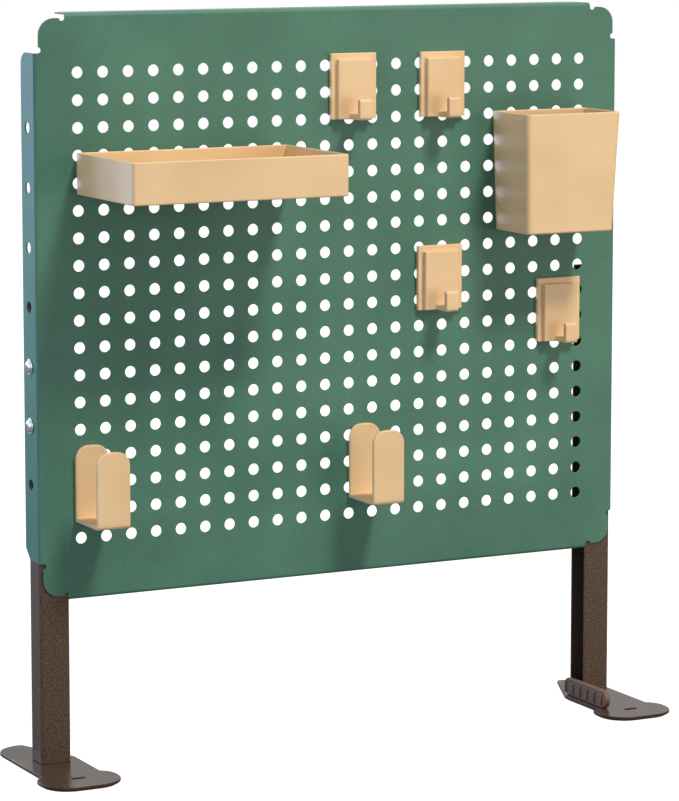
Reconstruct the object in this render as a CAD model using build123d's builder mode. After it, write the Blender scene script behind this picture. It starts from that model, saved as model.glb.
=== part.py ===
from build123d import *
import os

# Desk pegboard: a folded, perforated steel panel bolted between two channel legs on foot plates,
# with a tray, a pen cup, two brackets and four hooks snapped into its holes.
# Millimetres. X runs across the board, +Y away from the user, Z up from the desk.
# X = 0 is the board's middle, Y = 0 the middle of the footprint.
os.makedirs("parts", exist_ok=True)

# Perforated panel
PITCH = 23.0
COLUMNS = 22
ROWS = 18
HOLE_D = 10.0
HOLE_FLATS = 6
GRID_Z = 391.0
PANEL_Y = 20.5
PANEL_W = 560.0
PANEL_H = 492.0
PANEL_DROP = 1.5
SHEET = 1.2
BEND_R = 3.0

# Folded flanges and the corner lobes between them
FLANGE_DEPTH = 29.5
LOBE_WIDTH = 27.5
LOBE_HEIGHT = 32.5
LOBE_INSET = 3.8
LOBE_R = 14.0
RELIEF_R = 2.5
FLANGE_CORNER = 10.0
SIDE_HOLE_D = 9.5
SIDE_HOLE_STEP = 50.0
SIDE_HOLES = 7
SIDE_HOLE_BACK = 16.5

# Legs
LEG_W = 26.0
LEG_DEPTH = 24.0
LEG_WALL = 1.8
LEG_BEND_R = 3.0
LEG_GAP = 0.3
LEG_ABOVE_GRID = 8.0
LEG_HOLE_D = 7.0
LEG_HOLES = 4
LEG_HOLE_FLATS = 8

# Leg screws, flanged button heads, with plain hex nuts inside the channel
SCREW_D = 6.0
SHANK_FLATS = 8
SHANK_PAST_NUT = 1.0
HEAD_FLANGE_D = 13.6
HEAD_FLANGE_T = 1.0
HEAD_D = 10.5
HEAD_H = 3.3
HEAD_FLATS = 12
HEAD_SLOPE = 35.0
SOCKET_AF = 4.0
SOCKET_DEPTH = 2.0
NUT_AF = 10.0
NUT_H = 5.0
SCREWS_BELOW_GRID = (SIDE_HOLE_STEP, 2 * SIDE_HOLE_STEP)

# Feet
FOOT_X = 269.0
PAD_T = 1.5
FOOT_T = 2.5
HEEL_W = 53.0
HEEL_BACK = 74.5
HEEL_CUT = (25.5, 57.5)
HEEL_CORNERS = (12.0, 4.0, 24.0)
SHOULDER_FRONT = 34.0
TOE_W = 70.0
TOE_FRONT = 81.0
TOE_R = 25.0
TOE_SHOULDER_R = 18.0
TOE_SLOT = (13.0, 5.0)
TOE_SLOT_FRONT = 53.0
PAD_INSET = 3.0

# Ribbed grip beside the right leg
GRIP_X = 247.5
GRIP_T = 5.0
GRIP_H = 16.0
GRIP_FRONT = 46.0
GRIP_LENGTH = 73.0
GRIP_END_R = 7.9
RIB_D = 3.0
RIB_FLATS = 6
RIB_H = 11.0
RIB_UP = 2.0
RIB_STEP = 12.3
RIBS = 6
RIB_FIRST_FRONT = 38.0

# Clip-on pieces: the split pegs that hold them, then each one's sizes, where its middle stands,
# how far its underside is above the grid's middle, and the columns and rows that its pegs take.
PEG_D = 9.4
PEG_FLATS = 8
PEG_LENGTH = 8.0
PEG_SPLIT = 1.4
TRAY_W = 195.5
TRAY_D = 115.5
TRAY_H = 35.0
TRAY_WALL = 2.5
TRAY_R = 3.0
TRAY_FOOT = 1.2
TRAY_X = -145.3
TRAY_UP = 94.0
TRAY_PEGS = ((2, 4, 6, 8), (14,))
CUP_H = 105.0
CUP_TOP = (94.5, 61.0)
CUP_BASE = (87.0, 56.0)
CUP_WALL = 2.2
CUP_R = 4.0
CUP_FOOT = 1.5
CUP_X = 200.9
CUP_UP = 46.5
CUP_PEGS = ((19, 21), (12, 15))
BRACKET_W = 30.0
BRACKET_D = 48.0
BRACKET_H = 65.0
BRACKET_BACK_T = 4.0
BRACKET_LIP_T = 3.5
BRACKET_R = 10.0
BRACKET_FOOT_R = 3.0
BRACKET_UP = -181.5
BRACKET_ROWS = (2, 4)
BRACKETS = {"left_bracket": (-232.3, 1), "right_bracket": (25.7, 13)}
HOOK_W = 43.5
HOOK_H = 56.5
HOOK_BASE_T = 4.0
HOOK_PANEL_T = 4.0
HOOK_BORDER = 5.0
HOOK_EDGE = 0.8
TONGUE_W = 12.0
TONGUE_REACH = 19.0
TONGUE_T = 5.0
TONGUE_TIP_H = 18.0
TONGUE_R = 2.4
TONGUE_ROOT = 1.0
HOOKS = {"hook_1": (14.2, 149.2, 12, (17, 18)), "hook_2": (101.3, 148.6, 16, (17, 18)),
         "hook_3": (99.4, -20.5, 16, (9, 10)), "hook_4": (220.2, -55.4, 21, (8, 9))}

# The panel's front face, seen from the user: local x is X, local y is Z, and outwards is -Y.
FRONT = Plane.XZ.offset(-PANEL_Y)
PANEL_Z = GRID_Z - PANEL_DROP
PANEL_BACK_Y = PANEL_Y + SHEET


def column(number):
    """X of a hole column, counted from 1 at the left."""
    return (number - (COLUMNS + 1) / 2) * PITCH


def row(number):
    """Z of a hole row, counted from 1 at the bottom."""
    return GRID_Z + (number - (ROWS + 1) / 2) * PITCH


def save(builder, name):
    """Label a finished piece and write its STEP file."""
    builder.part.label = name
    export_step(builder.part, f"parts/{name}.step")


def mirrored(builder):
    """The same piece for the other side of the board."""
    with BuildPart() as other:
        mirror(builder.part, about=Plane.YZ)
    return other


# ---------------------------------------------------------------- perforated panel
# The flat web between the bend lines, four rounded corner lobes standing inside the flanges,
# a relief notch where each lobe meets a flange, and the hole grid. The four corner holes are
# round; the others have six flats across the same width.
corner_span = (column(COLUMNS) - column(1), row(ROWS) - row(1))
lobe_corner = (PANEL_W / 2 - LOBE_INSET, PANEL_H / 2 - LOBE_INSET)
flange_end = (PANEL_W / 2 - LOBE_WIDTH, PANEL_H / 2 - LOBE_HEIGHT)
flat_holes = [(column(c), row(r)) for c in range(1, COLUMNS + 1) for r in range(1, ROWS + 1)
              if not (c in (1, COLUMNS) and r in (1, ROWS))]

with BuildPart() as panel_face:
    with BuildSketch(FRONT):
        with Locations((0, PANEL_Z)):
            RectangleRounded(2 * lobe_corner[0], 2 * lobe_corner[1], LOBE_R)
            Rectangle(PANEL_W - 2 * BEND_R, 2 * flange_end[1])
            Rectangle(2 * flange_end[0], PANEL_H - 2 * BEND_R)
            with GridLocations(2 * lobe_corner[0], 2 * (flange_end[1] + RELIEF_R), 2, 2):
                Circle(RELIEF_R, mode=Mode.SUBTRACT)
            with GridLocations(2 * (flange_end[0] + RELIEF_R), 2 * lobe_corner[1], 2, 2):
                Circle(RELIEF_R, mode=Mode.SUBTRACT)
        with Locations((0, GRID_Z)):
            with GridLocations(*corner_span, 2, 2):
                Circle(HOLE_D / 2, mode=Mode.SUBTRACT)
        with Locations(*flat_holes):
            RegularPolygon(HOLE_D / 2, HOLE_FLATS, major_radius=False, rotation=180 / HOLE_FLATS,
                           mode=Mode.SUBTRACT)
    extrude(amount=-SHEET)
save(panel_face, "panel_face")


# ---------------------------------------------------------------- side flanges
# Seven adjusting holes each; two of them take the leg screws. The rear corner is rounded at the
# top and cut off at the bottom.
bend_y = PANEL_Y + BEND_R
rim_y = PANEL_Y + FLANGE_DEPTH

with BuildPart() as right_flange:
    with BuildSketch(Plane.XY.offset(PANEL_Z)):
        with BuildLine():
            side_x = PANEL_W / 2
            outer = RadiusArc((side_x - BEND_R, PANEL_Y), (side_x, bend_y), -BEND_R)
            Polyline(outer @ 1, (side_x, rim_y), (side_x - SHEET, rim_y), (side_x - SHEET, bend_y))
            RadiusArc((side_x - SHEET, bend_y), (side_x - BEND_R, PANEL_BACK_Y), BEND_R - SHEET)
            Line((side_x - BEND_R, PANEL_BACK_Y), outer @ 0)
        make_face()
    extrude(amount=flange_end[1], both=True)
    rear_ends = right_flange.edges().filter_by(Axis.X).group_by(Axis.Y)[-1]
    fillet(rear_ends.sort_by(Axis.Z)[-1], FLANGE_CORNER)
    rear_ends = right_flange.edges().filter_by(Axis.X).group_by(Axis.Y)[-1]
    chamfer(rear_ends.sort_by(Axis.Z)[0], FLANGE_CORNER)
    with BuildSketch(Plane.YZ.offset(PANEL_W / 2)):
        with Locations((PANEL_Y + SIDE_HOLE_BACK, GRID_Z)):
            with GridLocations(SIDE_HOLE_STEP, SIDE_HOLE_STEP, 1, SIDE_HOLES):
                Circle(SIDE_HOLE_D / 2)
    extrude(amount=-2 * SHEET, mode=Mode.SUBTRACT)
save(right_flange, "right_flange")
save(mirrored(right_flange), "left_flange")

# ---------------------------------------------------------------- top and bottom flanges
# Plain returns with both rear corners rounded.
with BuildPart() as top_flange:
    with BuildSketch(Plane.YZ):
        with BuildLine():
            top_z = PANEL_Z + PANEL_H / 2
            bend_z = top_z - BEND_R
            outer = RadiusArc((PANEL_Y, bend_z), (bend_y, top_z), BEND_R)
            Polyline(outer @ 1, (rim_y, top_z), (rim_y, top_z - SHEET), (bend_y, top_z - SHEET))
            RadiusArc((bend_y, top_z - SHEET), (PANEL_BACK_Y, bend_z), -(BEND_R - SHEET))
            Line((PANEL_BACK_Y, bend_z), outer @ 0)
        make_face()
    extrude(amount=flange_end[0], both=True)
    fillet(edges().filter_by(Axis.Z).group_by(Axis.Y)[-1], FLANGE_CORNER)
save(top_flange, "top_flange")

with BuildPart() as bottom_flange:
    mirror(top_flange.part, about=Plane.XY.offset(PANEL_Z))
save(bottom_flange, "bottom_flange")


# ---------------------------------------------------------------- legs
# Folded channels, web outwards against the side flange, open side towards the board's middle.
leg_web_x = PANEL_W / 2 - SHEET
leg_front_y = PANEL_BACK_Y + LEG_GAP
leg_foot_z = PAD_T + FOOT_T
leg_top_z = GRID_Z + LEG_ABOVE_GRID

with BuildPart() as right_leg:
    with BuildSketch(Plane.XY.offset(leg_foot_z)) as channel:
        with Locations((leg_web_x, leg_front_y)):
            Rectangle(LEG_W, LEG_DEPTH, align=(Align.MAX, Align.MIN))
        fillet(channel.vertices().group_by(Axis.X)[-1], LEG_BEND_R)
        with Locations((leg_web_x - LEG_WALL, leg_front_y + LEG_WALL)):
            Rectangle(LEG_W, LEG_DEPTH - 2 * LEG_WALL, align=(Align.MAX, Align.MIN),
                      mode=Mode.SUBTRACT)
        inside_corners = channel.vertices().group_by(Axis.X)[-2]
        fillet(inside_corners, LEG_BEND_R - LEG_WALL)
    extrude(amount=leg_top_z - leg_foot_z)
    with BuildSketch(Plane.YZ.offset(leg_web_x)):
        for step in range(LEG_HOLES):
            with Locations((PANEL_Y + SIDE_HOLE_BACK, GRID_Z - step * SIDE_HOLE_STEP)):
                RegularPolygon(LEG_HOLE_D / 2, LEG_HOLE_FLATS, major_radius=False)
    extrude(amount=-2 * LEG_WALL, mode=Mode.SUBTRACT)
save(right_leg, "right_leg")
save(mirrored(right_leg), "left_leg")


# ---------------------------------------------------------------- leg screws and nuts
# Flanged button-head screws through the side flange and the leg's web, a nut inside the channel.
grip_t = SHEET + LEG_WALL
screw_places = [Location((PANEL_W / 2, PANEL_Y + SIDE_HOLE_BACK, GRID_Z - drop), (0, 90, 0))
                for drop in SCREWS_BELOW_GRID]

with BuildPart() as screw:
    with BuildSketch():
        RegularPolygon(HEAD_FLANGE_D / 2, HEAD_FLATS)
    extrude(amount=HEAD_FLANGE_T)
    with BuildSketch(Plane.XY.offset(HEAD_FLANGE_T)):
        RegularPolygon(HEAD_D / 2, HEAD_FLATS)
    extrude(amount=HEAD_H - HEAD_FLANGE_T, taper=HEAD_SLOPE)
    with BuildSketch(Plane.XY.offset(HEAD_H)):
        RegularPolygon(SOCKET_AF / 2, 6, major_radius=False)
    extrude(amount=-SOCKET_DEPTH, mode=Mode.SUBTRACT)
    with BuildSketch():
        RegularPolygon(SCREW_D / 2, SHANK_FLATS)
    extrude(amount=-(grip_t + NUT_H + SHANK_PAST_NUT))

with BuildPart() as nut:
    with BuildSketch(Plane.XY.offset(-grip_t)):
        RegularPolygon(NUT_AF / 2, 6, major_radius=False)
        RegularPolygon(SCREW_D / 2, SHANK_FLATS, mode=Mode.SUBTRACT)
    extrude(amount=-NUT_H)

with BuildPart() as right_leg_screws:
    with Locations(*screw_places):
        add(screw.part)
save(right_leg_screws, "right_leg_screws")
save(mirrored(right_leg_screws), "left_leg_screws")

with BuildPart() as right_leg_nuts:
    with Locations(*screw_places):
        add(nut.part)
save(right_leg_nuts, "right_leg_nuts")
save(mirrored(right_leg_nuts), "left_leg_nuts")


# ---------------------------------------------------------------- feet
# A flat plate welded under each leg. The heel is straight at the outside, with its inner rear
# corner cut off at a slant; it widens over round shoulders to a spade-shaped toe with one screw
# slot. A thin pad is glued underneath.
heel_inner_x = FOOT_X - HEEL_W / 2
heel_outer_x = FOOT_X + HEEL_W / 2
heel_back_y = PANEL_Y + HEEL_BACK
shoulder_y = PANEL_Y - SHOULDER_FRONT
toe_y = PANEL_Y - TOE_FRONT
toe_root_y = shoulder_y - TOE_SHOULDER_R

with BuildSketch() as foot_plan:
    with Locations((FOOT_X, toe_y)):
        Rectangle(TOE_W, shoulder_y - toe_y, align=(Align.CENTER, Align.MIN))
    fillet(foot_plan.vertices().group_by(Axis.Y)[0], TOE_R)
    fillet(foot_plan.vertices().group_by(Axis.Y)[-1], TOE_SHOULDER_R)
    with BuildLine():
        heel = FilletPolyline((heel_inner_x, toe_root_y), (heel_inner_x, heel_back_y - HEEL_CUT[1]),
                              (heel_inner_x + HEEL_CUT[0], heel_back_y),
                              (heel_outer_x, heel_back_y), (heel_outer_x, toe_root_y),
                              radius=HEEL_CORNERS)
        Line(heel @ 1, heel @ 0)
    make_face()

with BuildPart() as right_foot:
    with BuildSketch(Plane.XY.offset(PAD_T)):
        add(foot_plan.sketch)
        with Locations((FOOT_X, PANEL_Y - TOE_SLOT_FRONT)):
            SlotOverall(*TOE_SLOT, mode=Mode.SUBTRACT)
    extrude(amount=FOOT_T)
save(right_foot, "right_foot")
save(mirrored(right_foot), "left_foot")

with BuildPart() as right_foot_pad:
    with BuildSketch():
        add(foot_plan.sketch)
        offset(amount=-PAD_INSET, kind=Kind.ARC)
        with Locations((FOOT_X, PANEL_Y - TOE_SLOT_FRONT)):
            Rectangle(TOE_SLOT[0] + PAD_INSET, TOE_SLOT[1] + PAD_INSET, mode=Mode.SUBTRACT)
    extrude(amount=PAD_T)
save(right_foot_pad, "right_foot_pad")
save(mirrored(right_foot_pad), "left_foot_pad")

# A ribbed rubber grip stands on the right plate along the leg's open side, round at both ends,
# with six upright ribs on its outer face.
with BuildPart() as right_heel_grip:
    with BuildSketch(Plane.YZ.offset(GRIP_X)):
        with Locations((PANEL_Y - GRIP_FRONT, leg_foot_z)):
            grip_side = Rectangle(GRIP_LENGTH, GRIP_H, align=(Align.MIN, Align.MIN))
        fillet(grip_side.vertices(), GRIP_END_R)
    extrude(amount=GRIP_T)
    with BuildSketch(Plane.XY.offset(leg_foot_z + RIB_UP)):
        with Locations(*[(GRIP_X, PANEL_Y - RIB_FIRST_FRONT + rib * RIB_STEP) for rib in range(RIBS)]):
            RegularPolygon(RIB_D / 2, RIB_FLATS)
    extrude(amount=RIB_H)
save(right_heel_grip, "right_heel_grip")


# ---------------------------------------------------------------- clip-on pieces
# Each has split pegs on its back, spread apart by the hole's rim and pulled straight out again.
def pegs(columns, rows):
    """Split pegs in the named holes, standing back from the front face."""
    with BuildPart() as group:
        with BuildSketch(FRONT):
            with Locations(*[(column(c), row(r)) for c in columns for r in rows]):
                RegularPolygon(PEG_D / 2, PEG_FLATS, rotation=180 / PEG_FLATS)
        extrude(amount=-PEG_LENGTH)
        with BuildSketch(FRONT.offset(-SHEET)):
            with Locations(*[(column(c), row(r)) for c in columns for r in rows]):
                Rectangle(PEG_SPLIT, PEG_D)
        extrude(amount=-PEG_LENGTH, mode=Mode.SUBTRACT)
    return group


# ---------------------------------------------------------------- tray
# An open moulded tray, rounded at its front corners and eased along its underside.
tray_z = GRID_Z + TRAY_UP
tray_pegs = pegs(*TRAY_PEGS)

with BuildPart() as tray:
    with BuildSketch(Plane.XY.offset(tray_z)) as tray_plan:
        with Locations((TRAY_X, PANEL_Y)):
            Rectangle(TRAY_W, TRAY_D, align=(Align.CENTER, Align.MAX))
        fillet(tray_plan.vertices().group_by(Axis.Y)[0], TRAY_R)
    extrude(amount=TRAY_H)
    chamfer(tray.faces().sort_by(Axis.Z)[0].edges(), TRAY_FOOT)
    with BuildSketch(Plane.XY.offset(tray_z + TRAY_WALL)) as tray_hollow:
        with Locations((TRAY_X, PANEL_Y - TRAY_WALL)):
            Rectangle(TRAY_W - 2 * TRAY_WALL, TRAY_D - 2 * TRAY_WALL, align=(Align.CENTER, Align.MAX))
        fillet(tray_hollow.vertices().group_by(Axis.Y)[0], TRAY_R - TRAY_WALL)
    extrude(amount=TRAY_H, mode=Mode.SUBTRACT)
    add(tray_pegs.part)
save(tray, "tray")


# ---------------------------------------------------------------- pen cup
# Drafted on three sides with its back flat against the panel.
cup_z = GRID_Z + CUP_UP
cup_pegs = pegs(*CUP_PEGS)


def cup_plan(height, size, wall=0.0):
    """The cup's outline at one height, `wall` inside its outer faces, with round front corners."""
    with BuildSketch(Plane.XY.offset(height)) as plan:
        with Locations((CUP_X, PANEL_Y - wall)):
            Rectangle(size[0] - 2 * wall, size[1] - 2 * wall, align=(Align.CENTER, Align.MAX))
        fillet(plan.vertices().group_by(Axis.Y)[0], CUP_R - wall)
    return plan.sketch


cup_outside = [cup_plan(cup_z, CUP_BASE), cup_plan(cup_z + CUP_H, CUP_TOP)]
cup_inside = [cup_plan(cup_z + CUP_WALL, CUP_BASE, CUP_WALL),
              cup_plan(cup_z + CUP_H, CUP_TOP, CUP_WALL)]
with BuildPart() as pen_cup:
    loft(cup_outside, ruled=True)
    chamfer(pen_cup.faces().sort_by(Axis.Z)[0].edges(), CUP_FOOT)
    loft(cup_inside, ruled=True, mode=Mode.SUBTRACT)
    add(cup_pegs.part)
save(pen_cup, "pen_cup")


# ---------------------------------------------------------------- brackets
# U-shaped: a back plate, a shelf and a front lip with rounded tops, open at both sides.
def bracket(x, peg_column):
    """One bracket with its middle at x and its pegs in one hole column."""
    bracket_pegs = pegs((peg_column,), BRACKET_ROWS)
    base_z = GRID_Z + BRACKET_UP
    with BuildPart() as holder:
        with BuildSketch(Plane.YZ.offset(x)) as section:
            with Locations((PANEL_Y, base_z)):
                Rectangle(BRACKET_D, BRACKET_H, align=(Align.MAX, Align.MIN))
            fillet(section.vertices().group_by(Axis.Z)[0].sort_by(Axis.Y)[0], BRACKET_FOOT_R)
            with Locations((PANEL_Y - BRACKET_BACK_T, base_z + BRACKET_BACK_T)):
                Rectangle(BRACKET_D - BRACKET_BACK_T - BRACKET_LIP_T, BRACKET_H,
                          align=(Align.MAX, Align.MIN), mode=Mode.SUBTRACT)
        extrude(amount=BRACKET_W / 2, both=True)
        with BuildSketch(FRONT) as round_top:
            with Locations((x, base_z)):
                Rectangle(BRACKET_W, BRACKET_H, align=(Align.CENTER, Align.MIN))
            fillet(round_top.vertices().group_by(Axis.Z)[-1], BRACKET_R)
        extrude(amount=BRACKET_D, mode=Mode.INTERSECT)
        add(bracket_pegs.part)
    return holder


for name, place in BRACKETS.items():
    save(bracket(*place), name)


# ---------------------------------------------------------------- hooks
# A square-edged base, a raised front panel inset on three sides, and an upturned tongue.
def hook(x, up, peg_column, peg_rows):
    """One hook with its middle at x, its foot `up` above the grid's middle, and two pegs."""
    hook_pegs = pegs((peg_column,), peg_rows)
    base_z = GRID_Z + up
    root_y = PANEL_Y - HOOK_BASE_T - HOOK_PANEL_T + TONGUE_ROOT
    with BuildPart() as plate:
        with BuildSketch(FRONT):
            with Locations((x, base_z)):
                Rectangle(HOOK_W, HOOK_H, align=(Align.CENTER, Align.MIN))
        extrude(amount=HOOK_BASE_T)
        with BuildSketch(FRONT.offset(HOOK_BASE_T)):
            with Locations((x, base_z)):
                Rectangle(HOOK_W - 2 * HOOK_BORDER, HOOK_H - HOOK_BORDER,
                          align=(Align.CENTER, Align.MIN))
        extrude(amount=HOOK_PANEL_T)
        chamfer(plate.faces().filter_by(Axis.Y).sort_by(Axis.Y)[0].edges(), HOOK_EDGE)
        with BuildSketch(Plane.YZ.offset(x)) as tongue:
            with Locations((root_y, base_z)):
                Rectangle(TONGUE_REACH + TONGUE_ROOT, TONGUE_TIP_H, align=(Align.MAX, Align.MIN))
            fillet(tongue.vertices().group_by(Axis.X)[0], TONGUE_R)
            with Locations((root_y, base_z + TONGUE_T)):
                Rectangle(TONGUE_REACH + TONGUE_ROOT - TONGUE_T, TONGUE_TIP_H,
                          align=(Align.MAX, Align.MIN), mode=Mode.SUBTRACT)
        extrude(amount=TONGUE_W / 2, both=True)
        add(hook_pegs.part)
    return plate


for name, place in HOOKS.items():
    save(hook(*place), name)
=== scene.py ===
import math
from functools import partial

import bmesh
import bpy
import numpy as np
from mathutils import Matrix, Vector
from mathutils.geometry import delaunay_2d_cdt


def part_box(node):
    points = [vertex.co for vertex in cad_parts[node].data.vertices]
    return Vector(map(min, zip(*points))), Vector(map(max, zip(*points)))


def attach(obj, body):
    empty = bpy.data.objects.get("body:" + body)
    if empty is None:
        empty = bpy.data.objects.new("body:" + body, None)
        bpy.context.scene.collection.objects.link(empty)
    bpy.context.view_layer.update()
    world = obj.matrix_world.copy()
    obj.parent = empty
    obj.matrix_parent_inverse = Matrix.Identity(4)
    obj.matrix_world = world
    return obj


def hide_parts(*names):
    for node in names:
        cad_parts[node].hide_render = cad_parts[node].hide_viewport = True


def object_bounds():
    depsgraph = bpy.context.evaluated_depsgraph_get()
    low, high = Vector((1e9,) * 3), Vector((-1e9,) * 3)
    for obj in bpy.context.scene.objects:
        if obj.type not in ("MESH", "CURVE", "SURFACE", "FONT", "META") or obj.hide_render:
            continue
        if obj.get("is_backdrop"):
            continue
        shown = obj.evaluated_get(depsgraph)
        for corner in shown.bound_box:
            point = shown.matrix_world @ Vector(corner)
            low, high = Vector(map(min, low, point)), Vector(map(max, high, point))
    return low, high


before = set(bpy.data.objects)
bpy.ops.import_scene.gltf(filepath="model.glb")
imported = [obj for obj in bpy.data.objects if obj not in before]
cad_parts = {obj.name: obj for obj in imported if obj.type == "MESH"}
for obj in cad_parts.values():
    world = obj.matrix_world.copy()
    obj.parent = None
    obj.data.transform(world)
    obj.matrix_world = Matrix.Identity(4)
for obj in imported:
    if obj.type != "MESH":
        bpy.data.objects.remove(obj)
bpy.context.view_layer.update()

# Folded panel. One 1.2 mm steel blank, punched with a 23 mm grid of 10 mm holes, folded back on
# four sides and baked in grey-green powder coat, which rounds over every cut edge. It is drawn
# here as the press shop has it: a flat blank first, then the four folds.
MM = 0.001
PITCH = 23.0
COLUMNS = 22
ROWS = 18
HOLE_R = 5.0
HOLE_POINTS = 16
GRID_UP = 1.5
SHEET = 1.2
COAT_R = 0.25
BEND_R = 3.0
BEND_STEPS = 8
FLAT_KEPT = 0.4
SIDE_END = 213.5
TOP_END = 252.5
FLANGE_DEPTH = 29.5
FLANGE_CORNER = 10.0
LOBE_INSET = 3.8
LOBE_R = 14.0
RELIEF_R = 2.5
SIDE_HOLE_R = 4.75
SIDE_HOLE_STEP = 50.0
SIDE_HOLE_BACK = 16.5
SIDE_HOLES_EACH_WAY = 3
CORNER_STEPS = 8
LOBE_STEPS = 10
STRAIGHT_CUT = 1
FILL_OUTLINE = 1
CLOSE = 1e-7
SHARP_ANGLE = 38.0
MERGE = 0.002 * MM


def extent(node):
    """Lowest and highest corner of a CAD node, in millimetres."""
    low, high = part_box(node)
    return np.array(low) / MM, np.array(high) / MM


def arc(centre, radius, start, end, steps):
    """Points on a circle from one angle to another, in degrees, both ends included."""
    turn = np.radians(np.linspace(start, end, steps + 1))
    return np.array(centre) + radius * np.column_stack([np.cos(turn), np.sin(turn)])


def inset(loop, distance):
    """Move a closed loop to the left of its travel, each point along the mitre of its two sides."""
    side = np.roll(loop, -1, axis=0) - loop
    side /= np.linalg.norm(side, axis=1, keepdims=True)
    normal = np.column_stack([-side[:, 1], side[:, 0]])
    mitre = normal + np.roll(normal, 1, axis=0)
    return loop + 2 * distance * mitre / np.sum(mitre ** 2, axis=1, keepdims=True)


def tube(points, capped=False):
    """Rows of points as a surface: each row closes on itself, neighbouring rows are joined by
    quads, and caps close the first and last rows. Returns its points and its arrays of faces."""
    rows, count = points.shape[:2]
    index = np.arange(rows * count).reshape(rows, count)
    after = np.roll(index, -1, axis=1)
    quads = np.stack([index[:-1], after[:-1], after[1:], index[1:]], axis=-1).reshape(-1, 4)
    caps = [index[:1, ::-1], index[-1:]] if capped else []
    return points.reshape(-1, 3), [quads, *caps]


def within(points, loop):
    """Which points lie inside a closed loop: a line drawn sideways from each crosses the loop an
    odd number of times."""
    start, end = loop, np.roll(loop, -1, axis=0)
    x, y = points[:, :1], points[:, 1:]
    spans = (start[:, 1] > y) != (end[:, 1] > y)
    rise = np.where(end[:, 1] == start[:, 1], 1.0, end[:, 1] - start[:, 1])
    meets = start[:, 0] + (y - start[:, 1]) / rise * (end[:, 0] - start[:, 0])
    return (spans & (x < meets)).sum(axis=1) % 2 == 1


def fold(position, depth, line, radius):
    """Fold a blank back along two lines, each `line` from its middle. Past a line a point runs
    round a quarter circle, then straight back; one `depth` inside the skin runs on a smaller
    circle. Returns how far across it ends, and how far behind the skin."""
    beyond = np.maximum(np.abs(position) - line, 0)
    turn = np.minimum(beyond / radius, math.pi / 2)
    across = np.minimum(np.abs(position), line) + (radius - depth) * np.sin(turn)
    straight = np.maximum(beyond - radius * math.pi / 2, 0)
    return np.sign(position) * across, radius - (radius - depth) * np.cos(turn) + straight


def punched_sheet(outline, holes, creases, thickness, edge, place):
    """The surfaces of a punched sheet. Both skins are the blank less its holes, triangulated,
    with an edge along each crease so that it can bend there; each cut edge is a wall carried
    round its loop, with a coated radius at the skin. `place` takes X, Y and depth of the blank
    to where they lie once folded."""
    loops = [outline] + [hole[::-1] for hole in holes]
    skin_loops = [inset(loop, edge) for loop in loops]
    points = np.concatenate(skin_loops)
    owner = np.repeat(np.arange(len(loops)), [len(loop) for loop in loops])
    after = np.concatenate([np.roll(np.flatnonzero(owner == i), -1) for i in range(len(loops))])
    edges = np.column_stack([np.arange(len(points)), after]).tolist()
    for crease in creases:
        edges.append([int(np.argmin(np.linalg.norm(points - end, axis=1))) for end in crease])
    filled = delaunay_2d_cdt([Vector(point) for point in points], edges, [], FILL_OUTLINE, CLOSE, False)
    triangles = np.array(filled[2])
    # The filling covers the holes and the outline's hollows too, so those triangles are dropped.
    in_hole = (owner[triangles] == owner[triangles][:, :1]).all(axis=1) & (owner[triangles[:, 0]] > 0)
    in_blank = within(points[triangles].mean(axis=1), skin_loops[0])
    triangles = triangles[in_blank & ~in_hole]
    stations = [(edge, 0), (0, edge), (0, thickness - edge), (edge, thickness)]
    surfaces = [(place(points, 0.0), [triangles]), (place(points, thickness), [triangles[:, ::-1]])]
    for loop in loops:
        rows = [place(inset(loop, inwards), depth) for inwards, depth in stations]
        surfaces.append(tube(np.stack(rows)))
    return surfaces


def make_piece(name, surfaces, material, body, slot, *nodes):
    """Join surfaces given in millimetres into one closed mesh with its faces outwards and its
    folds sharp, and say which body it rides on and which CAD nodes it stands for."""
    starts = np.cumsum([0] + [len(points) for points, _ in surfaces])
    vertices = np.concatenate([points for points, _ in surfaces]) * MM
    faces = [row for start, (_, arrays) in zip(starts, surfaces)
             for array in arrays for row in (array + start).tolist()]
    mesh = bpy.data.meshes.new(name)
    mesh.from_pydata(vertices, [], faces)
    joined = bmesh.new()
    joined.from_mesh(mesh)
    bmesh.ops.remove_doubles(joined, verts=joined.verts, dist=MERGE)
    bmesh.ops.recalc_face_normals(joined, faces=joined.faces)
    joined.to_mesh(mesh)
    joined.free()
    mesh.shade_smooth()
    mesh.set_sharp_from_angle(angle=math.radians(SHARP_ANGLE))
    mesh.materials.append(material)
    piece = bpy.data.objects.new(name, mesh)
    bpy.context.scene.collection.objects.link(piece)
    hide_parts(*nodes)
    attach(piece, body)


def linear(hex_colour):
    """An sRGB hex string as the linear RGBA that a shader socket takes."""
    srgb = np.array([int(hex_colour[i:i + 2], 16) for i in (1, 3, 5)]) / 255
    rgb = np.where(srgb <= 0.04045, srgb / 12.92, ((srgb + 0.055) / 1.055) ** 2.4)
    return (*rgb, 1.0)


def new_material(name, **sockets):
    """A node material, its tree and its Principled shader, with the given sockets set."""
    material = bpy.data.materials.new(name)
    material.use_nodes = True
    shader = material.node_tree.nodes["Principled BSDF"]
    for key, value in sockets.items():
        shader.inputs[key.replace("_", " ")].default_value = value
    return material, material.node_tree, shader


def add_node(tree, kind, settings=None, **links):
    """Add a node, set its attributes or sockets, and link its inputs to other sockets: by name,
    or by number as _0, _1 and so on."""
    node = tree.nodes.new(kind)
    for key, value in (settings or {}).items():
        if isinstance(key, int) or key in node.inputs:
            node.inputs[key].default_value = value
        else:
            setattr(node, key, value)
    for key, source in links.items():
        socket = node.inputs[int(key[1:])] if key[0] == "_" else node.inputs[key]
        tree.links.new(source, socket)
    return node


def dress(node_name, material):
    """Give a CAD node's object the material."""
    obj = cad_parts[node_name]
    obj.data.materials.clear()
    obj.data.materials.append(material)


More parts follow.
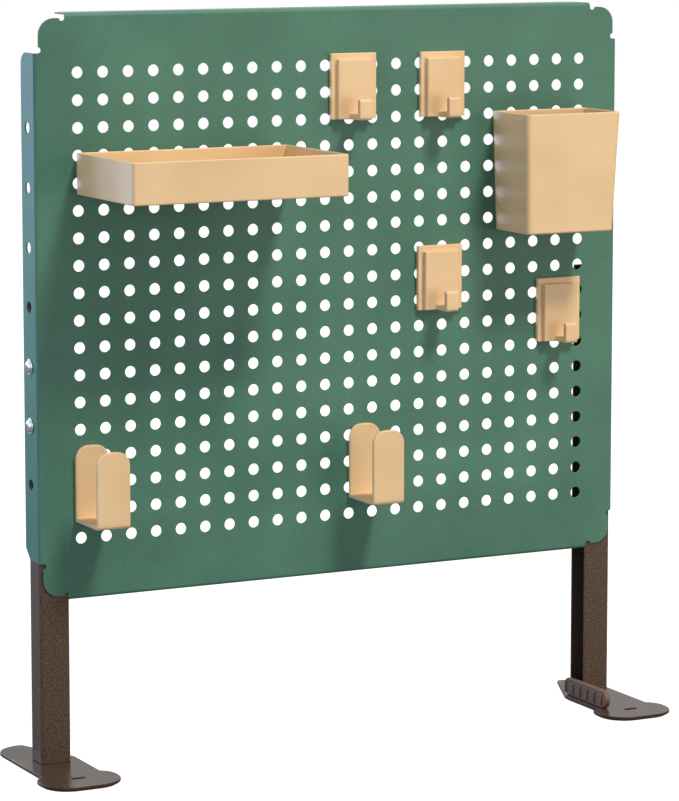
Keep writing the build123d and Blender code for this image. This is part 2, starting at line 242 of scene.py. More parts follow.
# Powder coat on steel: a dry, slightly pebbled skin. The pebbles of the real coat are about
# 0.3 mm, too fine to show here, so they are drawn at 1.5 mm. A slow drift of shade over some
# 90 mm comes from the thickness of the coat.
PEBBLE = 1.5
PEBBLE_DEEP = 0.06
PEBBLE_SHARE = 0.6
DRIFT = 90.0


def pebbled_skin(name, dark, light, roughness):
    """A dry skin between two shades, its pebbles a shallow bump: powder coat, or matt rubber."""
    material, tree, shader = new_material(name, Roughness=roughness, Specular_IOR_Level=0.25)
    place = add_node(tree, "ShaderNodeTexCoord").outputs["Object"]
    drift = add_node(tree, "ShaderNodeTexNoise", {"Scale": 1 / (DRIFT * MM), "Detail": 2.0},
                     Vector=place)
    pebbles = add_node(tree, "ShaderNodeTexNoise", {"Scale": 1 / (PEBBLE * MM), "Detail": 3.0},
                       Vector=place)
    blend = add_node(tree, "ShaderNodeMath", {"operation": "MULTIPLY_ADD", 1: PEBBLE_SHARE},
                     _0=pebbles.outputs[0], _2=drift.outputs[0])
    spread = add_node(tree, "ShaderNodeMapRange", {"From Min": 0.5, "From Max": 1.1},
                      Value=blend.outputs[0])
    shade = add_node(tree, "ShaderNodeMix", {"data_type": "RGBA", 6: linear(dark), 7: linear(light)},
                     Factor=spread.outputs[0])
    bump = add_node(tree, "ShaderNodeBump", {"Strength": 0.35, "Distance": PEBBLE_DEEP * MM},
                    Height=pebbles.outputs[0])
    tree.links.new(shade.outputs[2], shader.inputs["Base Color"])
    tree.links.new(bump.outputs[0], shader.inputs["Normal"])
    return material


green_coat = pebbled_skin("powder_coated_steel_grey_green", "#406B59", "#53826E", 0.48)

panel_low, panel_high = extent("panel_face")
panel_front = panel_low[1]
panel_middle = (panel_low[2] + panel_high[2]) / 2
grid_middle = panel_middle + GRID_UP
side_line = panel_high[0]
top_line = (panel_high[2] - panel_low[2]) / 2
bend_length = BEND_R * math.pi / 2
side_rim = side_line + bend_length + FLANGE_DEPTH - BEND_R
top_rim = top_line + bend_length + FLANGE_DEPTH - BEND_R
bend_stops = bend_length * np.linspace(0, 1, BEND_STEPS + 1)
bend_stops = np.concatenate([[-FLAT_KEPT], bend_stops, [bend_length + FLAT_KEPT]])


def blank_quarter(rear_steps):
    """A quarter of the blank's outline, anticlockwise: the side flange's rear corner, its end,
    the relief notch, the corner lobe, the other notch, and the top flange's end and corner. With
    one step the rear corner is a straight cut."""
    lobe = np.array([side_line + BEND_R, top_line + BEND_R]) - LOBE_INSET
    side_bend = np.column_stack([side_line + bend_stops[::-1], np.full(len(bend_stops), SIDE_END)])
    top_bend = np.column_stack([np.full(len(bend_stops), TOP_END), top_line + bend_stops])
    return np.concatenate([
        arc((side_rim - FLANGE_CORNER, SIDE_END - FLANGE_CORNER), FLANGE_CORNER, 0, 90, rear_steps),
        side_bend,
        arc((lobe[0], SIDE_END + RELIEF_R), RELIEF_R, 270, 90, CORNER_STEPS),
        arc(lobe - LOBE_R, LOBE_R, 0, 90, LOBE_STEPS),
        arc((TOP_END + RELIEF_R, lobe[1]), RELIEF_R, 0, -180, CORNER_STEPS),
        top_bend,
        arc((TOP_END - FLANGE_CORNER, top_rim - FLANGE_CORNER), FLANGE_CORNER, 0, 90, CORNER_STEPS)])


upper = blank_quarter(CORNER_STEPS)
lower = blank_quarter(STRAIGHT_CUT)
blank = np.concatenate([upper, (upper * (-1, 1))[::-1], -lower, (lower * (1, -1))[::-1]])

circle = arc((0, 0), 1, 0, 360, HOLE_POINTS)[:-1]
columns = (np.arange(COLUMNS) - (COLUMNS - 1) / 2) * PITCH
rows = (np.arange(ROWS) - (ROWS - 1) / 2) * PITCH + GRID_UP
holes = [HOLE_R * circle + (x, z) for x in columns for z in rows]
side_hole_x = side_line + bend_length + SIDE_HOLE_BACK - BEND_R
holes += [SIDE_HOLE_R * circle + (side * side_hole_x, GRID_UP + step * SIDE_HOLE_STEP)
          for side in (-1, 1) for step in range(-SIDE_HOLES_EACH_WAY, SIDE_HOLES_EACH_WAY + 1)]
creases = [((side * (side_line + stop), -SIDE_END), (side * (side_line + stop), SIDE_END))
           for side in (-1, 1) for stop in bend_stops]
creases += [((-TOP_END, side * (top_line + stop)), (TOP_END, side * (top_line + stop)))
            for side in (-1, 1) for stop in bend_stops]


def fold_panel(flat, depth):
    """The blank's points once all four flanges are folded back. Both folds count the depth, so
    it is taken off once."""
    x, side_back = fold(flat[:, 0], depth, side_line, BEND_R)
    z, top_back = fold(flat[:, 1], depth, top_line, BEND_R)
    return np.column_stack([x, panel_front + side_back + top_back - depth, panel_middle + z])


make_piece("folded_panel", punched_sheet(blank, holes, creases, SHEET, COAT_R, fold_panel), green_coat,
           "board", "powder_coat_green", "panel_face", "left_flange", "right_flange", "top_flange",
           "bottom_flange")

# Legs. Two channels folded from 1.8 mm steel, four holes punched in the web, stood against the
# side flanges with their open side to the middle. Hammered brown powder coat: small dimples
# with lighter crests, glossier than the panel's coat.
LEG_WALL = 1.8
LEG_BEND_R = 3.0
LEG_HOLE_R = 3.5
LEG_HOLES = 4
LEG_EDGE = 0.5
DIMPLE = 1.7


def hammered_coat(name, dark, light, roughness, gloss, dents):
    """Hammered powder coat: dimples about DIMPLE wide, darker in the hollows, under a satin
    resin skin. `dents` is how deep they are, in millimetres."""
    material, tree, shader = new_material(name, Roughness=roughness, Specular_IOR_Level=gloss)
    place = add_node(tree, "ShaderNodeTexCoord").outputs["Object"]
    dimples = add_node(tree, "ShaderNodeTexNoise", {"Scale": 1 / (DIMPLE * MM), "Detail": 2.0,
                                                    "Roughness": 0.55}, Vector=place)
    crests = add_node(tree, "ShaderNodeMapRange", {"From Min": 0.38, "From Max": 0.68},
                      Value=dimples.outputs[0])
    shade = add_node(tree, "ShaderNodeMix", {"data_type": "RGBA", 6: linear(dark), 7: linear(light)},
                     Factor=crests.outputs[0])
    bump = add_node(tree, "ShaderNodeBump", {"Strength": 0.5, "Distance": dents * MM},
                    Height=dimples.outputs[0])
    tree.links.new(shade.outputs[2], shader.inputs["Base Color"])
    tree.links.new(bump.outputs[0], shader.inputs["Normal"])
    return material


brown_coat = hammered_coat("hammered_powder_coat_brown", "#3C2E22", "#65503D", 0.42, 0.3, 0.2)

leg_low, leg_high = extent("right_leg")
leg_middle_y = (leg_low[1] + leg_high[1]) / 2
leg_line = (leg_high[1] - leg_low[1]) / 2 - LEG_BEND_R
leg_rim = leg_line + LEG_BEND_R * math.pi / 2 + (leg_high[0] - leg_low[0]) - LEG_BEND_R
half_stops = np.append(leg_line + bend_stops, leg_rim)
leg_stops = np.concatenate([-half_stops[::-1], half_stops])
leg_blank = np.concatenate([np.column_stack([leg_stops, np.full(len(leg_stops), leg_low[2])]),
                            np.column_stack([leg_stops[::-1], np.full(len(leg_stops), leg_high[2])])])
leg_holes = [LEG_HOLE_R * circle + (panel_front + SIDE_HOLE_BACK - leg_middle_y,
                                    grid_middle - step * SIDE_HOLE_STEP) for step in range(LEG_HOLES)]
leg_creases = [((stop, leg_low[2]), (stop, leg_high[2])) for stop in leg_stops[1:-1]]


def stand_leg(sign, flat, depth):
    """The leg's blank folded to a channel on the left (-1) or the right (1), its web outwards."""
    across, inwards = fold(flat[:, 0], depth, leg_line, LEG_BEND_R)
    return np.column_stack([sign * (leg_high[0] - inwards), leg_middle_y + across, flat[:, 1]])


for side, sign in (("left", -1), ("right", 1)):
    surfaces = punched_sheet(leg_blank, leg_holes, leg_creases, LEG_WALL, LEG_EDGE,
                             partial(stand_leg, sign))
    make_piece(f"{side}_channel_leg", surfaces, brown_coat, "board", "hammered_brown", f"{side}_leg")

# Leg screws and nuts. Two flanged button heads a side with a hex socket, turned from steel and
# bright zinc plated, each through the side flange and the leg's web into a plain hex nut. Their
# profile is given as heights above the flange and radii.
SCREW_STEPS = (1, 2)
SCREW_POINTS = 36
SOCKET_AF = 4.0
SCREW_STATIONS = [(-9.0, 2.3), (-8.3, 3.0), (0.0, 3.0), (0.0, 6.5), (0.15, 6.7), (0.4, 6.8),
                  (0.75, 6.75), (1.0, 6.45), (1.0, 5.3), (1.5, 5.2), (2.1, 4.85), (2.6, 4.3),
                  (3.0, 3.6), (3.25, 2.9), (3.3, 2.6)]
SOCKET_DEPTHS = (3.3, 1.3)
CLOUD = 1.5


def zinc_plate():
    """Bright zinc on steel: a clean metal whose roughness wavers in fine cloudy patches."""
    material, tree, shader = new_material("bright_zinc_plated_steel", Metallic=1.0)
    place = add_node(tree, "ShaderNodeTexCoord").outputs["Object"]
    cloud = add_node(tree, "ShaderNodeTexNoise", {"Scale": 1 / (CLOUD * MM), "Detail": 4.0}, Vector=place)
    rough = add_node(tree, "ShaderNodeMapRange", {"To Min": 0.18, "To Max": 0.42},
                     Value=cloud.outputs[0])
    shade = add_node(tree, "ShaderNodeMix", {"data_type": "RGBA", 6: linear("#BFC2C6"),
                                             7: linear("#DCDDDD")}, Factor=cloud.outputs[0])
    tree.links.new(shade.outputs[2], shader.inputs["Base Color"])
    tree.links.new(rough.outputs[0], shader.inputs["Roughness"])
    return material


zinc = zinc_plate()
turn = np.linspace(0, 2 * math.pi, SCREW_POINTS, endpoint=False)
stations = np.array(SCREW_STATIONS)
round_radius = np.broadcast_to(stations[:, 1:], (len(stations), SCREW_POINTS))
socket_radius = SOCKET_AF / 2 / np.cos((turn + math.pi / 6) % (math.pi / 3) - math.pi / 6)
radius = np.concatenate([round_radius, np.tile(socket_radius, (2, 1))])
height = np.concatenate([stations[:, 0], SOCKET_DEPTHS])[:, None]
for side, sign in (("left", -1), ("right", 1)):
    surfaces = []
    for step in SCREW_STEPS:
        x = sign * (side_line + BEND_R + np.broadcast_to(height, radius.shape))
        y = panel_front + SIDE_HOLE_BACK + radius * np.cos(turn)
        z = grid_middle - step * SIDE_HOLE_STEP + radius * np.sin(turn)
        surfaces.append(tube(np.stack([x, y, z], axis=-1), capped=True))
    make_piece(f"{side}_button_screws", surfaces, zinc, "board", "zinc_steel", f"{side}_leg_screws")
    dress(f"{side}_leg_nuts", zinc)

# Feet. Flat 2.5 mm plates, laser cut, welded under the legs and coated like them but smoother,
# so that they mirror the leg. The heel is a strip whose inner rear corner is cut off at a slant,
# and the toe a wide spade with one screw slot. A thin rubber pad is glued underneath.
HEEL_HALF = 26.5
HEEL_BACK = 74.5
HEEL_CUT = (25.5, 57.5)
HEEL_RADII = (12.0, 4.0, 24.0)
TOE_HALF = 35.0
TOE_FRONT = 81.0
TOE_R = 25.0
SHOULDER_FRONT = 34.0
SHOULDER_R = 18.0
SLOT = (13.0, 5.0)
SLOT_FRONT = 53.0
FOOT_EDGE = 0.4
TOE_STEPS = 12


def eased(corners, radii, steps=5, keep=FLAT_KEPT):
    """A polyline with its inner corners rounded. Each becomes the arc that touches both sides,
    with one more point `keep` past either end of it, so that the flat beyond stays flat."""
    corners = np.array(corners, float)
    points = [corners[:1]]
    for before, corner, after, radius in zip(corners, corners[1:], corners[2:], radii):
        arrive = (before - corner) / np.linalg.norm(before - corner)
        leave = (after - corner) / np.linalg.norm(after - corner)
        half = np.arccos(arrive @ leave) / 2
        centre = corner + (arrive + leave) / np.linalg.norm(arrive + leave) * radius / math.sin(half)
        reach = radius / math.tan(half)
        spokes = [corner + reach * arrive - centre, corner + reach * leave - centre]
        start, end = [math.atan2(spoke[1], spoke[0]) for spoke in spokes]
        swing = (end - start + math.pi) % (2 * math.pi) - math.pi
        points.append([corner + (reach + keep) * arrive])
        points.append(arc(centre, radius, math.degrees(start), math.degrees(start + swing), steps))
        points.append([corner + (reach + keep) * leave])
    return np.concatenate(points + [corners[-1:]])


# The feet's coat flowed out smooth, so it mirrors the room softly; the pads' rubber stays dull.
foot_coat = hammered_coat("smooth_powder_coat_brown", "#3A2C23", "#4E3D31", 0.25, 0.11, 0.03)
rubber = pebbled_skin("moulded_rubber_dark_brown", "#241D1A", "#332A25", 0.75)
foot_low, foot_high = extent("right_foot")
foot_x = foot_high[0] - TOE_HALF
toe_y = panel_front - TOE_FRONT
shoulder_y = panel_front - SHOULDER_FRONT
heel_y = panel_front + HEEL_BACK
meet_x = HEEL_HALF - (TOE_HALF - SHOULDER_R)
meet = math.degrees(math.acos(meet_x / SHOULDER_R))
shoulder_centre = np.array([TOE_HALF - SHOULDER_R, shoulder_y - SHOULDER_R])
right_shoulder = arc(shoulder_centre, SHOULDER_R, 0, meet, CORNER_STEPS)
heel = eased([right_shoulder[-1], (HEEL_HALF, heel_y), (HEEL_CUT[0] - HEEL_HALF, heel_y),
              (-HEEL_HALF, heel_y - HEEL_CUT[1]), right_shoulder[-1] * (-1, 1)],
             HEEL_RADII[::-1], CORNER_STEPS)
foot_outline = np.concatenate([
    arc((-TOE_HALF + TOE_R, toe_y + TOE_R), TOE_R, 180, 270, TOE_STEPS),
    arc((TOE_HALF - TOE_R, toe_y + TOE_R), TOE_R, 270, 360, TOE_STEPS),
    right_shoulder[:-1], heel, (right_shoulder * (-1, 1))[-2::-1]])
slot_reach = (SLOT[0] - SLOT[1]) / 2
slot = np.concatenate([arc((slot_reach, 0), SLOT[1] / 2, -90, 90, CORNER_STEPS),
                       arc((-slot_reach, 0), SLOT[1] / 2, 90, 270, CORNER_STEPS)])
slot += (0, panel_front - SLOT_FRONT)


def lay_foot(sign, flat, depth):
    """The plate's points on the desk, on the left (-1) or the right (1), its upper skin up."""
    return np.column_stack([sign * (foot_x + flat[:, 0]), flat[:, 1],
                            np.full(len(flat), foot_high[2] - depth)])


for side, sign in (("left", -1), ("right", 1)):
    surfaces = punched_sheet(foot_outline, [slot], [], foot_high[2] - foot_low[2], FOOT_EDGE,
                             partial(lay_foot, sign))
    make_piece(f"{side}_foot_plate", surfaces, foot_coat, "board", "hammered_brown", f"{side}_foot")
    dress(f"{side}_foot_pad", rubber)

# Heel grip. A bar of brown rubber, moulded with six upright half-round ribs and round at both
# ends, that stands on the right plate against the leg's open side and is glued there.
RIB_W = 3.0
RIB_D = 1.4
RIB_H = 11.0
RIB_UP = 2.0
RIBS = 6
RIB_STEP = 12.3
RIB_FIRST_FRONT = 38.0
RIB_ROWS = 6
RIB_FULLNESS = 0.9
GRIP_R = 7.9
GRIP_EDGE = 0.8
GRIP_CAP_IN = 4.0


def rounded_rings(low, high, radii, level, steps=5, keep=FLAT_KEPT):
    """Rounded rectangles, one a row, from `low` to `high` in two axes and at `level` in the
    third. A row's points run round its four corners in turn, each a quarter circle with a point
    up to `keep` past either end. `radii` gives the four corners, first the one at `high`."""
    low, high = np.broadcast_arrays(np.atleast_2d(low), np.atleast_2d(high))
    least = (high - low).min(axis=1)[:, None]
    radii = np.minimum(np.broadcast_to(radii, (len(low), 4)), 0.5 * least)
    keep = np.minimum(keep, 0.25 * (least - 2 * radii.max(axis=1, keepdims=True)))[:, :, None]
    signs = np.array([(1, 1), (-1, 1), (-1, -1), (1, -1)])
    corner = np.where(signs > 0, high[:, None], low[:, None])
    turn = np.radians(90 * np.arange(4)[:, None] + np.linspace(0, 90, steps + 1))
    spokes = np.stack([np.cos(turn), np.sin(turn)], axis=-1)
    quarters = (corner - signs * radii[:, :, None])[:, :, None] + radii[:, :, None, None] * spokes
    first = quarters[:, :, 0] - keep * np.stack([-spokes[:, 0, 1], spokes[:, 0, 0]], axis=-1)
    last = quarters[:, :, -1] + keep * np.stack([-spokes[:, -1, 1], spokes[:, -1, 0]], axis=-1)
    ring = np.concatenate([first[:, :, None], quarters, last[:, :, None]], axis=2)
    ring = ring.reshape(len(low), -1, 2)
    level = np.broadcast_to(np.reshape(level, (-1, 1, 1)), ring.shape[:2] + (1,))
    return np.concatenate([ring, level], axis=2)


bar_low, bar_high = extent("right_heel_grip")
bar_face = bar_low[0] + RIB_D
bar_t = bar_high[0] - bar_face
bar_profile = eased([(GRIP_CAP_IN, 0), (0, 0), (0, bar_t), (GRIP_CAP_IN, bar_t)], (GRIP_EDGE, GRIP_EDGE))
shrink = bar_profile[:, :1]
rings = rounded_rings(bar_low[1:] + shrink, bar_high[1:] - shrink, GRIP_R - shrink,
                      bar_face + bar_profile[:, 1], steps=CORNER_STEPS)
surfaces = [tube(rings[..., [2, 0, 1]], capped=True)]
swell = np.radians(np.linspace(0, 90, RIB_ROWS))[:, None]
narrow = RIB_W / 2 * (1 - np.cos(swell)) * RIB_FULLNESS
for rib in range(RIBS):
    rib_y = panel_front - RIB_FIRST_FRONT + rib * RIB_STEP
    rib_low = np.array([rib_y - RIB_W / 2, bar_low[2] + RIB_UP])
    rings = rounded_rings(rib_low + narrow, rib_low + (RIB_W, RIB_H) - narrow,
                          RIB_W / 2 - narrow, bar_face - RIB_D * np.sin(swell), keep=0.0)
    surfaces.append(tube(rings[..., [2, 0, 1]], capped=True))

# The grip's rubber has a drier sheen than the coats beside it, which shows up its ribs.
grip_rubber = pebbled_skin("moulded_rubber_brown", "#54433A", "#745E4B", 0.5)
make_piece("ribbed_grip_bar", surfaces, grip_rubber, "board", "black_rubber", "right_heel_grip")

# Tray. Moulded in cream ABS, open at the top, with thin walls whose rim and foot are eased in
# the tool, and split pegs on its back that snap into four columns of one hole row. A peg's
# profile is given as distances behind the panel's front and radii.
TRAY_WALL = 2.5
TRAY_R = 3.0
TRAY_FOOT_R = 1.2
RIM_R = 0.9
INNER_FLOOR_R = 1.5
REAR_R = 0.8
CENTRE_GAP = 0.01
TRAY_PEGS = ((2, 4, 6, 8), (14,))
PEG_STATIONS = [(0.0, 4.6), (1.6, 4.6), (2.4, 4.7), (4.5, 4.7), (7.2, 4.2), (7.9, 3.6)]
PEG_SPLIT = 0.7
PEG_POINTS = 11
GRAIN = 0.9
GRAIN_DEEP = 0.03
GRAIN_SHARE = 0.25
FLOW = 60.0


def moulded_abs(name, dark, light):
    """Cream ABS from a spark-eroded mould: satin, with a very fine grain, drawn coarser here,
    and a faint drift of shade where the melt flowed."""
    material, tree, shader = new_material(name, Roughness=0.42, IOR=1.53, Subsurface_Weight=0.06,
                                          Subsurface_Scale=0.004)
    place = add_node(tree, "ShaderNodeTexCoord").outputs["Object"]
    flow = add_node(tree, "ShaderNodeTexNoise", {"Scale": 1 / (FLOW * MM), "Detail": 1.0}, Vector=place)
    grain = add_node(tree, "ShaderNodeTexNoise", {"Scale": 1 / (GRAIN * MM), "Detail": 2.0}, Vector=place)
    blend = add_node(tree, "ShaderNodeMath", {"operation": "MULTIPLY_ADD", 1: GRAIN_SHARE},
                     _0=grain.outputs[0], _2=flow.outputs[0])
    spread = add_node(tree, "ShaderNodeMapRange", {"From Min": 0.4, "From Max": 0.85},
                      Value=blend.outputs[0])
    shade = add_node(tree, "ShaderNodeMix", {"data_type": "RGBA", 6: linear(dark), 7: linear(light)},
                     Factor=spread.outputs[0])
    bump = add_node(tree, "ShaderNodeBump", {"Strength": 0.2, "Distance": GRAIN_DEEP * MM},
                    Height=grain.outputs[0])
    tree.links.new(shade.outputs[2], shader.inputs["Base Color"])
    tree.links.new(bump.outputs[0], shader.inputs["Normal"])
    return material


def split_pegs(peg_columns, peg_rows):
    """Two half pegs in each named hole: D-shaped rows, an arc of a circle and its chord, whose
    circle swells a little behind the sheet and narrows to the tip."""
    back, radius = np.array(PEG_STATIONS).T
    reach = np.arccos(PEG_SPLIT / radius)[:, None] * np.linspace(-1, 1, PEG_POINTS)
    rows_of_points = []
    for side in (-1, 1):
        x = side * radius[:, None] * np.cos(reach)
        z = radius[:, None] * np.sin(reach)
        y = panel_front + np.broadcast_to(back[:, None], x.shape)
        rows_of_points.append(np.stack([x, y, z], axis=-1))
    middles = [(columns[column - 1], 0, panel_middle + rows[row - 1])
               for column in peg_columns for row in peg_rows]
    return [tube(points + middle, capped=True) for middle in middles for points in rows_of_points]


def open_box(low, high, draft, wall, corner_r, foot_r):
    """An open moulded box, as rounded rectangles along the profile of its wall: out from the
    middle of the underside, round the foot, up, over the rim, down inside and in across the
    floor. `draft` is how much wider it is at the rim than at the foot, in X and in depth."""
    depth = high[2] - low[2]
    middle = (high[1] - low[1] - draft[1]) / 2 - CENTRE_GAP
    profile = eased([(middle, 0), (0, 0), (0, depth), (wall, depth), (wall, wall), (middle, wall)],
                    (foot_r, RIM_R, RIM_R, INNER_FLOOR_R))
    shrink, up = profile[:, 0], profile[:, 1]
    lean = (1 - up / depth)[:, None] * (draft[0] / 2, draft[1])
    ring_low = low[:2] + lean + shrink[:, None]
    ring_high = np.column_stack([high[0] - lean[:, 0] - shrink, high[1] - shrink])
    front = np.maximum(corner_r - shrink, REAR_R)
    back = np.full(len(shrink), REAR_R)
    return tube(rounded_rings(ring_low, ring_high, np.column_stack([back, back, front, front]),
                              low[2] + up))


cream = moulded_abs("moulded_abs_cream", "#DCB988", "#E7C798")
tray_low, tray_high = extent("tray")
tray_high[1] = panel_front
surfaces = [open_box(tray_low, tray_high, (0, 0), TRAY_WALL, TRAY_R, TRAY_FOOT_R)] + split_pegs(*TRAY_PEGS)
make_piece("tray_moulding", surfaces, cream, "tray", "cream_abs", "tray")

# Pen cup. The same ABS in a deeper, drafted moulding, so that it leaves its tool: narrower at
# the foot, with an upright back that lies flat on the panel, and four split pegs.
CUP_WALL = 2.2
CUP_R = 4.0
CUP_FOOT_R = 1.5
CUP_DRAFT = (7.5, 5.0)
CUP_PEGS = ((19, 21), (12, 15))

cup_low, cup_high = extent("pen_cup")
cup_high[1] = panel_front
surfaces = [open_box(cup_low, cup_high, CUP_DRAFT, CUP_WALL, CUP_R, CUP_FOOT_R)] + split_pegs(*CUP_PEGS)
make_piece("pen_cup_moulding", surfaces, cream, "pen_cup", "cream_abs", "pen_cup")

# Brackets. U-shaped ABS mouldings that hold a tablet's or a book's lower edge: a back plate, a
# shelf and a front lip with rounded tops and eased edges, on two split pegs each.
BRACKET_BACK_T = 4.0
BRACKET_LIP_T = 3.5
BRACKET_R = 12.0
BRACKET_HEEL_R = 1.0
BRACKET_TOE_R = 3.0
BRACKET_EASE = 1.2
BRACKET_FLAT = 1.0
ROUND_FROM = 60
ROUND_STEPS = 7
HEEL_STEPS = 3
BEND_ROWS = 5
STRAP_STEPS = 3
STRAP_KEPT = 0.3
MID_ROUND = 0.3
BRACKET_PEGS = {"left_bracket": ((1,), (2, 4)), "right_bracket": ((13,), (2, 4))}


def strap(outer, inner, half_width, middle, ease):
    """A moulded strip along a path. Each row is a rounded rectangle across X, between a point of
    the strip's outer face and one of its inner face, given as Y and Z. Both ends are capped, and
    rounded over by drawing in their last two rows: the middle of a quarter circle lies
    MID_ROUND of its radius in from both of its sides."""
    across = inner - outer
    thickness = np.linalg.norm(across, axis=1)
    shrink = np.zeros(len(outer))
    shrink[[0, 1, -2, -1]] = ease * np.array([1, MID_ROUND, MID_ROUND, 1])
    ring_low = np.column_stack([-half_width + shrink, shrink])
    ring_high = np.column_stack([half_width - shrink, thickness - shrink])
    rings = rounded_rings(ring_low, ring_high, ease, 0, steps=STRAP_STEPS, keep=STRAP_KEPT)
    beside = outer[:, None] + (across / thickness[:, None])[:, None] * rings[..., 1:2]
    return tube(np.concatenate([middle + rings[..., :1], beside], axis=2), capped=True)


for name, peg_places in BRACKET_PEGS.items():
    low, high = extent(name)
    half = (high[0] - low[0]) / 2
    climb = np.concatenate([[BRACKET_R], BRACKET_R - BRACKET_EASE * np.array([MID_ROUND, 1]),
                            arc((0, 0), BRACKET_R, ROUND_FROM, 0, ROUND_STEPS)[:, 1]])
    arm_z = np.append(high[2] - BRACKET_R + climb, low[2] + BRACKET_BACK_T + BRACKET_FLAT)
    arm_half = np.append(half - BRACKET_R + np.sqrt(BRACKET_R ** 2 - climb ** 2), half)
    heel_arc = arc((panel_front - BRACKET_HEEL_R, low[2] + BRACKET_HEEL_R), BRACKET_HEEL_R, 0, -90,
                   HEEL_STEPS)
    toe_arc = arc((low[1] + BRACKET_TOE_R, low[2] + BRACKET_TOE_R), BRACKET_TOE_R, 270, 180, BEND_ROWS)
    arm = np.column_stack([np.zeros(len(arm_z)), arm_z])
    inner_heel = np.array([panel_front - BRACKET_BACK_T, low[2] + BRACKET_BACK_T])
    inner_toe = np.array([low[1] + BRACKET_LIP_T, low[2] + BRACKET_BACK_T])
    shelf = np.array([(inner_heel[0] - BRACKET_FLAT, low[2]), (inner_toe[0] + BRACKET_FLAT, low[2])])
    outer = np.concatenate([arm + (panel_front, 0), heel_arc, shelf, toe_arc, arm[::-1] + (low[1], 0)])
    inner = np.concatenate([arm + (inner_heel[0], 0), np.tile(inner_heel, (len(heel_arc), 1)),
                            shelf + (0, BRACKET_BACK_T), np.tile(inner_toe, (len(toe_arc), 1)),
                            arm[::-1] + (inner_toe[0], 0)])
    foot_rows = len(heel_arc) + len(shelf) + len(toe_arc)
    width = np.concatenate([arm_half, np.full(foot_rows, half), arm_half[::-1]])
    surfaces = [strap(outer, inner, width, (low[0] + high[0]) / 2, BRACKET_EASE)]
    make_piece(f"{name}_moulding", surfaces + split_pegs(*peg_places), cream, name, "cream_abs", name)

# Hooks. Four alike in the same ABS: an oblong base with a raised panel inset on three sides, and
# a square tongue that reaches forward from its foot and turns up, on two split pegs.
HOOK_BASE_T = 4.0
HOOK_PANEL_T = 4.0
HOOK_BORDER = 5.0
HOOK_RADII = (0.4, 0.7, 0.3, 0.9)
HOOK_CORNER_R = 0.6
HOOK_BACK_IN = 3.0
HOOK_FACE_IN = 4.0
HOOK_STEPS = 3
TONGUE_HALF = 6.0
TONGUE_T = 5.0
TONGUE_TIP_H = 18.0
TONGUE_R = 2.4
TONGUE_ROOT = 1.0
TONGUE_EASE = 0.8
TONGUE_ROOT_ROWS = (0.0, 0.3, 1.0)
KNEE_KEPT = 0.5
HOOK_PEGS = {"hook_1": ((12,), (17, 18)), "hook_2": ((16,), (17, 18)), "hook_3": ((16,), (9, 10)),
             "hook_4": ((21,), (8, 9))}

hook_front = HOOK_BASE_T + HOOK_PANEL_T
hook_profile = eased([(HOOK_BACK_IN, 0), (0, 0), (0, HOOK_BASE_T), (HOOK_BORDER, HOOK_BASE_T),
                      (HOOK_BORDER, hook_front), (HOOK_BORDER + HOOK_FACE_IN, hook_front)],
                     HOOK_RADII, HOOK_STEPS)
shrink, forward = hook_profile[:, 0], hook_profile[:, 1]
foot_shrink = np.where(forward > HOOK_BASE_T / 2, np.maximum(shrink - HOOK_BORDER, 0), shrink)
for name, peg_places in HOOK_PEGS.items():
    low, high = extent(name)
    ring_low = np.column_stack([low[0] + shrink, low[2] + foot_shrink])
    ring_high = np.column_stack([high[0] - shrink, high[2] - shrink])
    rings = rounded_rings(ring_low, ring_high, HOOK_CORNER_R, panel_front - forward, HOOK_STEPS)
    root_y = panel_front - hook_front + TONGUE_ROOT
    tip_z = low[2] + TONGUE_TIP_H
    knee = np.array([low[1] + TONGUE_T, low[2] + TONGUE_T])
    root_stops = [root_y - ahead for ahead in TONGUE_ROOT_ROWS] + [knee[0] + KNEE_KEPT]
    root = np.array([(stop, low[2]) for stop in root_stops])
    bend = arc((low[1] + TONGUE_R, low[2] + TONGUE_R), TONGUE_R, 270, 180, BEND_ROWS)
    tip = np.array([(low[1], knee[1] + KNEE_KEPT), (low[1], tip_z - TONGUE_R - FLAT_KEPT)])
    crown = arc((low[1] + TONGUE_R, tip_z - TONGUE_R), TONGUE_R, 180, 90, BEND_ROWS)
    crown_inner = np.column_stack([np.full(len(crown), knee[0]),
                                   np.linspace(tip_z - TONGUE_R, tip_z, len(crown))])
    outer = np.concatenate([root, bend, tip, crown])
    inner = np.concatenate([root + (0, TONGUE_T), np.tile(knee, (len(bend), 1)),
                            tip + (TONGUE_T, 0), crown_inner])
    tongue = strap(outer, inner, np.full(len(outer), TONGUE_HALF), (low[0] + high[0]) / 2, TONGUE_EASE)
    surfaces = [tube(rings[..., [0, 2, 1]], capped=True), tongue] + split_pegs(*peg_places)
    make_piece(f"{name}_moulding", surfaces, cream, name, "cream_abs", name)

# Studio. A floor and a surround that look white, though the floor's own paint is grey and the
# surround lights the object more softly than it looks, and four lamps: a high key before the
# board, two cool ones at the left, before and behind it, and a low one from the right.
SURROUND_LIGHT = 0.24
FLOOR_HALF = 6.0
FLOOR_PAINT = "#8C8C8C"
FLOOR_GLOW = 0.95

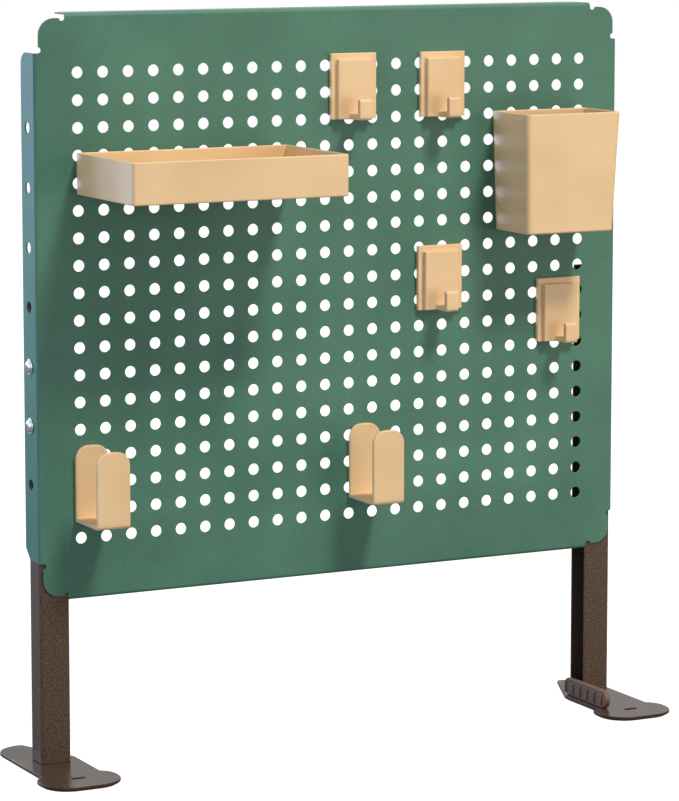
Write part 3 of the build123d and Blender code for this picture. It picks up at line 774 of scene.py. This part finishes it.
floor_mesh = bpy.data.meshes.new("floor")
corners = FLOOR_HALF * np.array([(-1, -1, 0), (1, -1, 0), (1, 1, 0), (-1, 1, 0)])
floor_mesh.from_pydata(corners, [], [(0, 1, 2, 3)])
floor = bpy.data.objects.new("floor", floor_mesh)
bpy.context.scene.collection.objects.link(floor)
floor_paint, tree, shader = new_material("matt_floor_paint", Roughness=0.95, Specular_IOR_Level=0.1)
shader.inputs["Base Color"].default_value = linear(FLOOR_PAINT)
rays = add_node(tree, "ShaderNodeLightPath")
glow = add_node(tree, "ShaderNodeMath", {"operation": "MULTIPLY", 1: FLOOR_GLOW},
                _0=rays.outputs["Is Camera Ray"])
shader.inputs["Emission Color"].default_value = linear("#FFFFFF")
tree.links.new(glow.outputs[0], shader.inputs["Emission Strength"])
floor_mesh.materials.append(floor_paint)
floor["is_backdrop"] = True

world = bpy.data.worlds.new("studio")
bpy.context.scene.world = world
world.use_nodes = True
tree = world.node_tree
rays = add_node(tree, "ShaderNodeLightPath")
seen = add_node(tree, "ShaderNodeMath", {"operation": "MAXIMUM"}, _0=rays.outputs["Is Camera Ray"],
                _1=rays.outputs["Is Glossy Ray"])
seen = add_node(tree, "ShaderNodeMath", {"operation": "MAXIMUM"}, _0=seen.outputs[0],
                _1=rays.outputs["Is Transmission Ray"])
level = add_node(tree, "ShaderNodeMapRange", {"To Min": SURROUND_LIGHT, "To Max": 1.0},
                 Value=seen.outputs[0])
background = tree.nodes["Background"]
background.inputs["Color"].default_value = linear("#FFFFFF")
tree.links.new(level.outputs[0], background.inputs["Strength"])


def soft_lamp(name, place, target, size, watts, colour):
    """A square area lamp at `place`, facing `target`, in metres."""
    light = bpy.data.lights.new(name, "AREA")
    light.size = size
    light.energy = watts
    light.color = linear(colour)[:3]
    lamp = bpy.data.objects.new(name, light)
    bpy.context.scene.collection.objects.link(lamp)
    lamp.visible_camera = False
    lamp.location = place
    direction = np.array(target) - np.array(place)
    lamp.rotation_euler = (math.atan2(math.hypot(*direction[:2]), -direction[2]), 0,
                           math.atan2(direction[1], direction[0]) - math.pi / 2)


soft_lamp("key_lamp", (1.2, -3.2, 5.6), (0, 0, 0.35), 1.1, 345, "#FFF8F0")
soft_lamp("left_lamp", (-2.4, -0.7, 0.9), (0, 0, 0.35), 1.3, 21, "#D0DFFF")
soft_lamp("rear_lamp", (-1.5, 2.5, 1.3), (-0.2, 0, 0.35), 2.4, 85, "#B4CCFA")
soft_lamp("right_lamp", (0.9, -1.3, 0.45), (0.1, 0, 0.25), 0.8, 6, "#FFF4E6")

# Camera, at the photograph's angle. Its place, turn, tilt and lens were fitted to the panel's
# hole grid, and the lens is shifted a little so that the legs stay near to upright.
camera_data = bpy.data.cameras.new("camera")
camera = bpy.data.objects.new("camera", camera_data)
bpy.context.scene.collection.objects.link(camera)
camera.location = (-1.3962, -2.7008, 0.7554)
camera.rotation_euler = (math.radians(90 - 7.26), 0, math.radians(-27.198))
camera_data.lens = 160.14
camera_data.sensor_width = 36.0
camera_data.shift_y = -0.10
camera_data.clip_end = 50.0
bpy.context.scene.camera = camera

bpy.context.scene.view_settings.view_transform = "Standard"

low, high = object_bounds()
